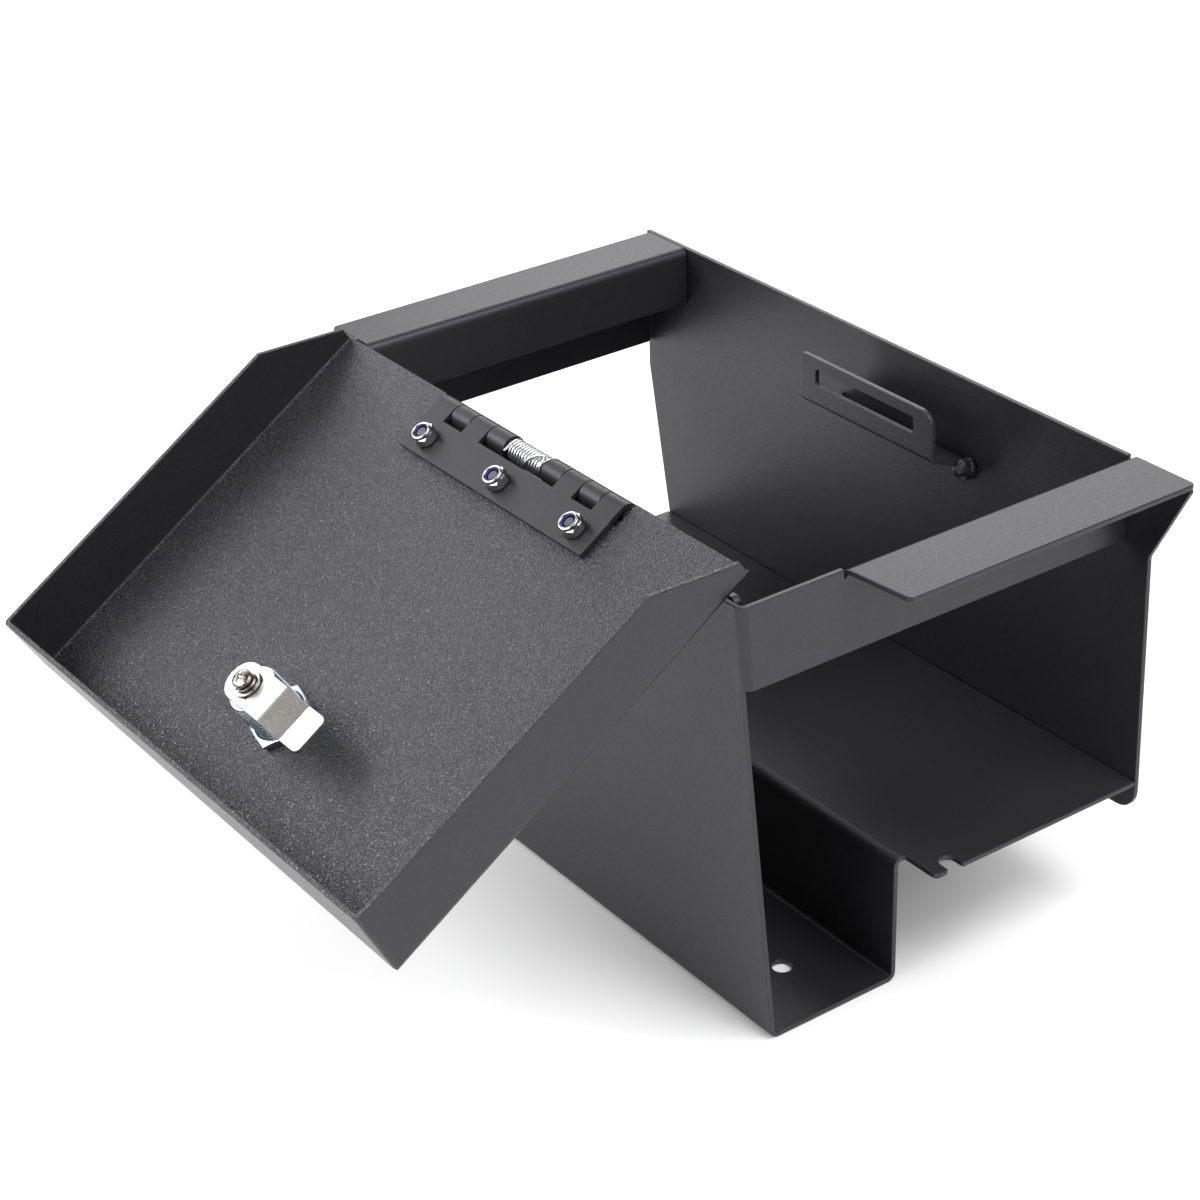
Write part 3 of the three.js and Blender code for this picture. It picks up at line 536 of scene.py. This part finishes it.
def tube(path, radius, sides=12):
    """Round wire along a path: a circle across each step, drawn in to a point by three at both ends"""
    forward = np.gradient(path, axis=0)
    forward /= np.linalg.norm(forward, axis=1)[:, None]
    across = np.cross(forward, (0.0, 1.0, 0.0))
    across /= np.linalg.norm(across, axis=1)[:, None]
    upward = np.cross(across, forward)
    closing = np.array([0.0, 0.5, 0.85])
    bulge = np.array([0.6, 0.5, 0.3])[:, None]
    share = np.r_[closing, np.ones(len(path)), closing[::-1]]
    middle = np.concatenate([
        path[0] - radius * bulge * forward[0], path, path[-1] + radius * bulge[::-1] * forward[-1]])
    index = np.clip(np.arange(len(middle)) - len(closing), 0, len(path) - 1)
    angle = circle(sides)[None, :, None]
    ring = np.cos(angle) * across[index][:, None] + np.sin(angle) * upward[index][:, None]
    return middle[:, None] + (radius * share)[:, None, None] * ring


def cut_thread(grid, rows, pitch, depth):
    """Cuts a helical groove into rows of a turned surface: at the phase 2 pi z / pitch - angle the radius
    drops by depth (1 - cos phase) / 2"""
    radius = np.hypot(grid[rows, :1, 0], grid[rows, :1, 1])
    phase = 2 * np.pi * grid[rows, :1, 2] / pitch - circle(grid.shape[1])
    groove = depth * (1 - np.cos(phase)) / 2
    grid[rows, :, :2] *= (1 - groove / radius)[:, :, None]


def dressed(name, node, edge, body, slot, material):
    """Copy of a node's solid with its loose triangles merged and its cut edges rounded"""
    mesh = frame["nodes"][node].data.copy()
    mesh.name = name
    work = bmesh.new()
    work.from_mesh(mesh)
    bmesh.ops.remove_doubles(work, verts=work.verts, dist=SOLID_DOUBLES)
    bmesh.ops.dissolve_limit(
        work, angle_limit=math.radians(FLAT_ANGLE), verts=work.verts, edges=work.edges, delimit=set())
    work.to_mesh(mesh)
    work.free()
    for layer in list(mesh.uv_layers):
        mesh.uv_layers.remove(layer)
    mesh.polygons.foreach_set("use_smooth", np.ones(len(mesh.polygons), bool))
    made = show(mesh, name, body, slot, material, node)
    bevel = made.modifiers.new("edges", "BEVEL")
    bevel.width = edge
    bevel.segments = CUT_SEGMENTS
    bevel.limit_method = "ANGLE"
    bevel.angle_limit = math.radians(CUT_ANGLE)
    bevel.use_clamp_overlap = False
    bevel.miter_outer = "MITER_ARC"
    bevel.harden_normals = False
    weights = made.modifiers.new("flats", "WEIGHTED_NORMAL")
    weights.mode = "FACE_AREA"
    weights.keep_sharp = True
    return made


class SAFE_OT_housing(bpy.types.Operator):
    """Folded housing, latch wall, strike bracket and hinge bar with rounded cut edges"""
    bl_idname = "safe.housing"
    bl_label = "Housing sheets"

    def execute(self, context):
        edge = context.scene.safe_sizes.sheet_edge
        for node in ("folded_body", "latch_wall", "strike_bracket", "hinge_bar"):
            dressed(node + "_sheet", node, edge, "housing", "housing_coat", housing_coat(context))
        return {"FINISHED"}


def lump_points(place, size, rows=14, sides=28):
    """Weld lump: ellipsoid that swells at turn a and rise b by sin(3a + 1) sin 2b + 0.6 cos(5a + 3b) times
    its ripple, and not at its poles"""
    rise = np.linspace(-np.pi / 2, np.pi / 2, rows)[:, None]
    angle = circle(sides)[None, :]
    swell = np.sin(3 * angle + 1) * np.sin(2 * rise) + 0.6 * np.cos(5 * angle + 3 * rise)
    swell[[0, -1]] = 0
    ball = turned(angle, np.cos(rise) + 0 * angle, np.sin(rise))
    return np.asarray(place) + (1 + WELD_RIPPLE * swell)[..., None] * ball * np.asarray(size)


class SAFE_OT_welds(bpy.types.Operator):
    """Weld lumps at the foot of the strike bracket"""
    bl_idname = "safe.welds"
    bl_label = "Welds"

    def execute(self, context):
        grids = [(lump_points(place, size), True, False) for place, size in BRACKET_WELDS]
        lumps = surface("bracket_weld", grids, np.eye(4))
        show(lumps, "bracket_weld", "housing", "housing_coat", housing_coat(context))
        return {"FINISHED"}


def lean_flanges(mesh):
    """Springs the lid's flanges: they sink, most at the front, and the front one leans back to the hinge.
    Both grow from nothing at the fold to their full size at the near end's free edge."""
    points = np.empty(3 * len(mesh.vertices))
    mesh.vertices.foreach_get("co", points)
    local = moved(points.reshape(-1, 3) / MM, np.linalg.inv(LID))
    depth = np.clip(local[:, 2] / local[:, 2].min(), 0, 1)
    depth *= np.interp(local[:, 1], (local[:, 1].min(), local[:, 1].max()), (1, FLANGE_FAR_SHARE))
    back, front = local[:, 0].min(), local[:, 0].max()
    local[:, 2] -= FLANGE_SINK * depth * np.clip((local[:, 0] - back) / (front - back), 0, 1)
    local[:, 0] -= FLANGE_LEAN * depth * (local[:, 0] > front - FLANGE_REACH)
    mesh.vertices.foreach_set("co", (moved(local, LID) * MM).ravel())
    mesh.update()


class SAFE_OT_lid(bpy.types.Operator):
    """Lid tray with rounded cut edges, its broad faces grained and dense with painted sparkle, and its
    flanges smooth
    """
    bl_idname = "safe.lid"
    bl_label = "Lid tray"

    def execute(self, context):
        cut_edge, broad = context.scene.safe_sizes.sheet_edge, tuple(LID[:3, 2])
        # The lid's broad faces get a far larger share of lighter flecks than the housing in the same coat:
        # painted sparkle
        finish = coat(
            context, "lid coat with painted sparkle", "coat", share=0.5, relief=1.0, gloss=0.33, broad=broad, edge=0.08)
        tray = dressed("lid_tray", "lid_panel", cut_edge, "lid", "lid_coat", finish)
        lean_flanges(tray.data)
        return {"FINISHED"}


def pin_points():
    """Hinge pin turned from a rounded rectangle, from its near end to its far end"""
    length = HINGE_LENGTH + 2 * PIN_OVERHANG
    return spun(rounded([
        (0, 0, 0), (PIN_RADIUS, 0, PIN_ROUNDING), (PIN_RADIUS, length, PIN_ROUNDING),
        (0, length, 0)]), PIN_SIDES)


def coil_path(radius, pitch, count):
    """Spring round the pin: helix (r cos t, p t / 2 pi, r sin t) about its middle, with a straight leg up
    to its start and another along the last turn's tangent"""
    end = OPEN_ANGLE - math.pi / 2 + 2 * math.pi * count
    angle = np.linspace(0, end, TURN_POINTS * count)
    along = pitch * angle / (2 * np.pi) - pitch * end / (4 * np.pi)
    coil = np.stack([radius * np.cos(angle), along, radius * np.sin(angle)], -1)
    leg = np.linspace(SPRING_LEG, SPRING_LEG / LEG_POINTS, LEG_POINTS)[:, None]
    first = coil[0] + leg * (0, 0, -1)
    last = coil[-1] + leg[::-1] * (-math.sin(end), 0, math.cos(end))
    return np.concatenate([first, coil, last])


def crossing_path(lay):
    """Leg that crosses the coil at a radius outside it: points (r cos t, y, r sin t) between the stops,
    with t and y smoothed by a running mean"""
    share = np.linspace(0, 1, CROSSING_POINTS)
    stops = np.linspace(0, 1, len(CROSSING_AROUND))
    around, along = np.interp(share, stops, CROSSING_AROUND), np.interp(share, stops, CROSSING_ALONG)
    mean = np.full(2 * CROSSING_MEAN + 1, 1 / (2 * CROSSING_MEAN + 1))
    for line in (around, along):
        line[CROSSING_MEAN:-CROSSING_MEAN] = np.convolve(line, mean, "valid")
    around = np.radians(around)
    return np.stack([lay * np.cos(around), along, lay * np.sin(around)], -1)


class SAFE_OT_hinge(bpy.types.Operator):
    """Leaves, pin and wound spring of the hinge"""
    bl_idname = "safe.hinge"
    bl_label = "Hinge"

    def execute(self, context):
        sizes = context.scene.safe_sizes
        satin = coat(context, "leaf coat", "leaf", share=0.03, relief=0.1, gloss=0.38, specular=0.34)
        dressed("body_leaf_plate", "body_leaf", sizes.leaf_edge, "housing", "leaf_coat", satin)
        dressed("lid_leaf_plate", "lid_leaf", sizes.leaf_edge, "lid", "leaf_coat", satin)

        start = HINGE @ shift(0, HINGE_NEAR - PIN_OVERHANG, 0) @ turn("X", -math.pi / 2)
        pin = surface("pin", [(pin_points(), True, False)], start)
        dark = plated(context, "pin steel", "pin", polish=0.45)
        show(pin, "pin", "housing", "bolt_zinc", dark, "hinge_pin")

        radius, wire, pitch = sizes.coil_radius / MM, sizes.wire_radius / MM, sizes.coil_pitch / MM
        wound = tube(coil_path(radius, pitch, sizes.coil_count), wire)
        crossing = tube(crossing_path(radius + 2 * wire + CROSSING_CLEARANCE), wire)
        middle = HINGE @ shift(0, HINGE_MIDDLE, 0)
        spring = surface("wound_spring", [(wound, True, False), (crossing, True, False)], middle)
        zinc = plated(context, "spring zinc", "spring", polish=0.3)
        show(spring, "wound_spring", "housing", "spring_zinc", zinc, "hinge_spring")
        return {"FINISHED"}


def bolt_points(grip, pitch):
    """Bolt from its crown to its tip: low dome, rim and underside, then a shank with its thread"""
    dome, head, shank, tail, tip = 3.9, 4.2, 2.3, 1.95, 1.75
    dome_edge, dome_rise, side = -0.9, 0.6, -0.6
    step, thread_depth, tip_height, tip_inset = 0.1, 0.32, 0.3, 0.8
    length = grip + NUT_HEIGHT - tip_inset
    crown = np.linspace(0, np.pi / 2, 10)
    top = np.c_[dome * np.sin(crown), dome_edge - dome_rise * np.cos(crown)]
    rim = rounded([(dome, dome_edge, 0), (head, side, 0.2), (head, 0, 0.1), (shank, 0, 0)])
    threaded = np.arange(step, length - tip_height - step / 2, step)
    end = [(tail, length - tip_height), (tip, length), (0, length)]
    grid = spun(np.concatenate([top, rim, np.c_[np.full(len(threaded), shank), threaded], end]), BOLT_SIDES)
    start = len(top) + len(rim)
    cut_thread(grid, slice(start, start + len(threaded)), pitch, thread_depth)
    return grid


def nut_points(flats):
    """Locking nut: hexagon cut back by a cone at both ends, a round collar and a pocket for the ring.
    The profile runs once round the wall, so rows and columns both close."""
    rim, collar, pocket, bore = flats / 2 - 0.25, 3.85, 2.95, 2.45
    shoulder, ledge, cone = 3.7, 3.75, 0.62
    inside = rounded([
        (rim, shoulder, 0), (collar, 3.72, 0.02), (collar, NUT_HEIGHT, 0.5), (pocket, NUT_HEIGHT, 0.3),
        (pocket, ledge, 0.05), (bore, ledge, 0)], steps=6)
    inside = np.concatenate([inside[1:], [(bore, 0.35), (2.8, 0)]])
    return np.concatenate([hexagon(flats, 0, shoulder, rim, cone, FINE_SIDES), spun(inside, FINE_SIDES)])


def ring_points():
    """Nylon ring: rounded rectangle turned round the bolt"""
    outer, inner, low, high, start = 2.85, 2.4, 3.9, 4.7, 2.6
    profile = rounded([
        (start, low, 0), (outer, low, 0.1), (outer, high, 0.12), (inner, high, 0.2), (inner, low, 0.1),
        (start, low, 0)])
    return spun(profile[:-1], RING_SIDES)


class SAFE_OT_fasteners(bpy.types.Operator):
    """Six round-headed bolts with threads, locking nuts and nylon rings"""
    bl_idname = "safe.fasteners"
    bl_label = "Bolts and nuts"

    def execute(self, context):
        sizes = context.scene.safe_sizes
        steel = plated(context, "bolt steel", "bolt", polish=0.42)
        bright = plated(context, "nut plating", "nut", polish=0.16)
        blue = ring_nylon(context)
        nut, ring = nut_points(sizes.nut_flats / MM), ring_points()
        through_wall = shift(BODY_BOLT_START, 0, AXIS_HEIGHT - BODY_BOLT_DROP) @ turn("Y", math.pi / 2)
        through_lid = shift(LID_BOLT_LINE, 0, LID_BOLT_START) @ turn("X", math.pi)
        for side, body, grip, local, base in (
            ("body", "housing", BODY_GRIP, through_wall, BODY),
            ("lid", "lid", LID_GRIP, through_lid, LID),
        ):
            bolt = bolt_points(grip, sizes.bolt_pitch / MM)
            for number, along in enumerate(BOLT_PLACES, 1):
                place = base @ shift(0, along, 0) @ local
                seat = place @ shift(0, 0, grip)
                for kind, points, where, closed, slot, finish in (
                    ("bolt", bolt, place, False, "bolt_zinc", steel),
                    ("nut", nut, seat, True, "nut_plating", bright),
                    ("nut_ring", ring, seat, True, "nylon", blue),
                ):
                    name = f"{side}_{kind}_{number}"
                    shape = surface(name + "_turned", [(points, True, closed)], where, crease=24)
                    show(shape, name + "_turned", body, slot, finish, name)
        return {"FINISHED"}


def barrel_points(pitch):
    """Lock barrel and flange as one wall: threads up to the flange, and y held between two flats"""
    barrel, flange, face, bore, flats = 9.5, 11, 7.8, 6.5, 8
    end, plain, seat, top, recess = -21.5, -1.0, 0.3, 3, 0.9
    thread_start, thread_end, thread_step, thread_depth = -21.0, -1.2, 0.125, 0.75
    threaded = np.arange(thread_start, thread_end, thread_step)
    head = rounded([
        (barrel, plain, 0), (barrel, seat, 0), (flange, seat, 0.15), (flange, top, 0.8), (face, top, 0.1),
        (face, recess, 0), (bore, recess, 0), (bore, end, 0.2), (8.9, end, 0)])
    grid = spun(np.concatenate([np.c_[np.full(len(threaded), barrel), threaded], head]), FINE_SIDES)
    cut_thread(grid, slice(len(threaded)), pitch, thread_depth)
    outside = (grid[..., 2] < seat - 0.01) & (np.hypot(grid[..., 0], grid[..., 1]) > flats)
    grid[..., 1] = np.where(outside, np.clip(grid[..., 1], -flats, flats), grid[..., 1])
    return grid


def lock_nut_points(flats):
    """Flat hexagon nut of the lock with a chamfered bore, its profile run once round the wall"""
    low, high, rim, cone, start = -5.0, -2.3, flats / 2 - 0.4, 0.75, 40
    bore, chamfer = 9.8, (10.2, 10.3)
    inside = [(chamfer[0], high), (bore, high - 0.3), (bore, low + 0.4), (chamfer[1], low)]
    side = hexagon(flats, low, high, rim, cone, FINE_SIDES, start)
    return np.concatenate([side, spun(inside, FINE_SIDES, start)])


def screw_points():
    """Screw along its axis: a dome whose height drops inside a cross of two slots, then rim and shank"""
    dome, rim, shank, height, crown = 3.1, 3.7, 2, 2.0, 0.55
    slot_width, slot_reach, slot_depth, slot_rise = 0.62, 2.2, 1.25, 0.25
    wall_slope, end_slope, length = 0.2, 0.3, 8.8
    radius = np.linspace(0, dome, 40)
    top = spun(np.c_[radius, height - crown * (radius / dome) ** 2], FINE_SIDES)
    x, y = np.abs(top[..., 0]), np.abs(top[..., 1])
    slots = [np.clip((slot_width - side) / wall_slope, 0, 1) * np.clip((slot_reach - out) / end_slope, 0, 1)
             for side, out in ((y, x), (x, y))]
    top[..., 2] -= np.maximum(*slots) * (slot_depth - slot_rise * np.hypot(x, y))
    below = rounded([
        (dome, height - crown, 0), (rim, 1.1, 0.3), (rim, 0, 0.15), (shank, 0, 0), (shank, -length, 0),
        (0, -length, 0)])
    return np.concatenate([top, spun(below, FINE_SIDES)])


def washer_points():
    """Flat washer under the cam: rounded rectangle turned round the lock's axis"""
    outer, inner, start, top, bottom = 5.4, 2.3, 4, -24.3, -25.1
    profile = rounded([
        (start, top, 0), (outer, top, 0.25), (outer, bottom, 0.25), (inner, bottom, 0.1), (inner, top, 0.1),
        (start, top, 0)])
    return spun(profile[:-1], WASHER_SIDES)


class SAFE_OT_lock(bpy.types.Operator):
    """Threaded barrel, nut, plug, cam, screw and washers of the lock"""
    bl_idname = "safe.lock"
    bl_label = "Cam lock"

    def execute(self, context):
        sizes = context.scene.safe_sizes
        zinc = plated(context, "lock zinc", "zinc", polish=0.3)
        chrome = plated(context, "plug chrome", "chrome", polish=0.12)
        bright = plated(
            context, "cam zinc", "cam", polish=0.38, relief=0.04, stretch=(200.0, 3000.0, 3000.0))
        steel = plated(context, "washer zinc", "screw", polish=0.25)

        barrel = surface("lock_barrel", [(barrel_points(sizes.barrel_pitch / MM), True, True)], LOCK)
        show(barrel, "lock_barrel", "lid", "lock_zinc", zinc, "lock_housing")
        nut = surface(
            "lock_nut_hex", [(lock_nut_points(sizes.lock_nut_flats / MM), True, True)], LOCK, crease=22)
        show(nut, "lock_nut_hex", "lid", "lock_zinc", zinc, "lock_nut")

        dressed("lock_plug_core", "lock_plug", sizes.fine_edge, "lock", "plug_chrome", chrome)
        cam_edge = CAM_EDGE_SHARE * sizes.fine_edge
        dressed("lock_cam_plate", "lock_cam", cam_edge, "lock", "cam_zinc", bright)
        underside = LOCK @ shift(0, 0, -SCREW_SEAT) @ turn("X", math.pi)
        screw = surface("cam_screw_head", [(screw_points(), True, False)], underside)
        show(screw, "cam_screw_head", "lock", "washer_zinc", steel, "cam_screw")
        disc = surface("cam_washer_disc", [(washer_points(), True, True)], LOCK)
        show(disc, "cam_washer_disc", "lock", "washer_zinc", steel, "cam_washer")
        dressed("cam_split_washer", "cam_lock_washer", sizes.fine_edge, "lock", "washer_zinc", steel)
        return {"FINISHED"}


def lay_floor(scene):
    """Square grid of four faces just under the safe, pale and faintly glowing"""
    half = scene.safe_sizes.floor_width / 2
    steps = np.linspace(-half, half, 3)
    flat = np.stack([*np.meshgrid(steps, steps, indexing="ij"), np.full((3, 3), -FLOOR_DROP)], -1)
    mesh = bpy.data.meshes.new("floor")
    mesh.from_pydata(flat.reshape(-1, 3).tolist(), [], quads(flat, False, False)[:, ::-1].tolist())
    floor = bpy.data.objects.new("floor", mesh)
    scene.collection.objects.link(floor)
    pale = bpy.data.materials.new("floor")
    pale.use_nodes = True
    shader = pale.node_tree.nodes["Principled BSDF"]
    shader.inputs["Base Color"].default_value = (*scene.safe_colours.floor, 1)
    shader.inputs["Roughness"].default_value = FLOOR_ROUGHNESS
    shader.inputs["Emission Color"].default_value = (1, 1, 1, 1)
    shader.inputs["Emission Strength"].default_value = FLOOR_GLOW
    mesh.materials.append(pale)


def light_room(scene):
    """White room that lights the safe faintly and is bright where the camera sees it"""
    world = bpy.data.worlds.new("studio")
    world.use_nodes = True
    tree = world.node_tree
    sky = tree.nodes["Background"]
    sky.inputs["Color"].default_value = (1, 1, 1, 1)
    seen = add(tree, "ShaderNodeLightPath").outputs["Is Camera Ray"]
    tree.links.new(ranged(tree, seen, (0.0, 1.0), (ROOM_LIGHT, BACKDROP_LIGHT)), sky.inputs["Strength"])
    scene.world = world


def soft_box(scene, name, azimuth, elevation, power):
    """Soft box at a distance from the safe's middle: cosine and sine of both angles give its direction"""
    data = bpy.data.lights.new(name, "AREA")
    data.shape = "RECTANGLE"
    data.size, data.size_y = LAMP_SIZE
    data.energy = power
    lamp = bpy.data.objects.new(name, data)
    scene.collection.objects.link(lamp)
    azimuth, elevation = math.radians(azimuth), math.radians(elevation)
    level = math.cos(elevation)
    away = Vector((math.cos(azimuth) * level, math.sin(azimuth) * level, math.sin(elevation)))
    lamp.location = Vector(LAMP_TARGET) + LAMP_DISTANCE * away
    lamp.rotation_euler = (-away).to_track_quat("-Z", "Y").to_euler()


def place_camera(scene):
    """Camera at the photograph's place, looking ahead with its right hand along the fitted directions"""
    data = bpy.data.cameras.new("camera")
    data.sensor_width = CAMERA_SENSOR
    data.lens = CAMERA_LENS
    data.shift_x, data.shift_y = CAMERA_SHIFT
    data.clip_start, data.clip_end = CAMERA_CLIP
    camera = bpy.data.objects.new("camera", data)
    scene.collection.objects.link(camera)
    right = Vector(CAMERA_RIGHT).normalized()
    ahead = Vector(CAMERA_AHEAD).normalized()
    upward = right.cross(ahead).normalized()
    pose = Matrix((right, upward, -ahead)).transposed().to_4x4()
    pose.translation = Vector(CAMERA_PLACE)
    camera.matrix_world = pose
    scene.camera = camera


class SAFE_OT_stage(bpy.types.Operator):
    """Pale floor, soft lights and the camera"""
    bl_idname = "safe.stage"
    bl_label = "Stage"

    def execute(self, context):
        scene = context.scene
        lay_floor(scene)
        light_room(scene)
        for name, azimuth, elevation, power in LAMPS:
            soft_box(scene, name, azimuth, elevation, power)
        scene.view_settings.view_transform = "Standard"
        place_camera(scene)
        return {"FINISHED"}


class SAFE_PT_panel(bpy.types.Panel):
    """Sizes, colours and builders of the safe"""
    bl_idname = "SAFE_PT_panel"
    bl_label = "Console Safe"
    bl_space_type = "VIEW_3D"
    bl_region_type = "UI"
    bl_category = "Safe"

    def draw(self, context):
        for group in (context.scene.safe_sizes, context.scene.safe_colours):
            box = self.layout.box()
            for name in group.__annotations__:
                box.prop(group, name)
        for operator in OPERATORS:
            self.layout.operator(operator.bl_idname)


OPERATORS = (
    SAFE_OT_stage, SAFE_OT_housing, SAFE_OT_welds, SAFE_OT_lid, SAFE_OT_hinge, SAFE_OT_fasteners,
    SAFE_OT_lock)
CLASSES = (SafeSizes, SafeColours, *OPERATORS, SAFE_PT_panel)


def register():
    for item in CLASSES:
        bpy.utils.register_class(item)
    bpy.types.Scene.safe_sizes = bpy.props.PointerProperty(type=SafeSizes)
    bpy.types.Scene.safe_colours = bpy.props.PointerProperty(type=SafeColours)


def unregister():
    del bpy.types.Scene.safe_colours
    del bpy.types.Scene.safe_sizes
    for item in reversed(CLASSES):
        bpy.utils.unregister_class(item)


def main():
    """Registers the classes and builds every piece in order"""
    register()
    bpy.ops.safe.stage()
    bpy.ops.safe.housing()
    bpy.ops.safe.welds()
    bpy.ops.safe.lid()
    bpy.ops.safe.hinge()
    bpy.ops.safe.fasteners()
    bpy.ops.safe.lock()


if __name__ == "__main__":
    main()
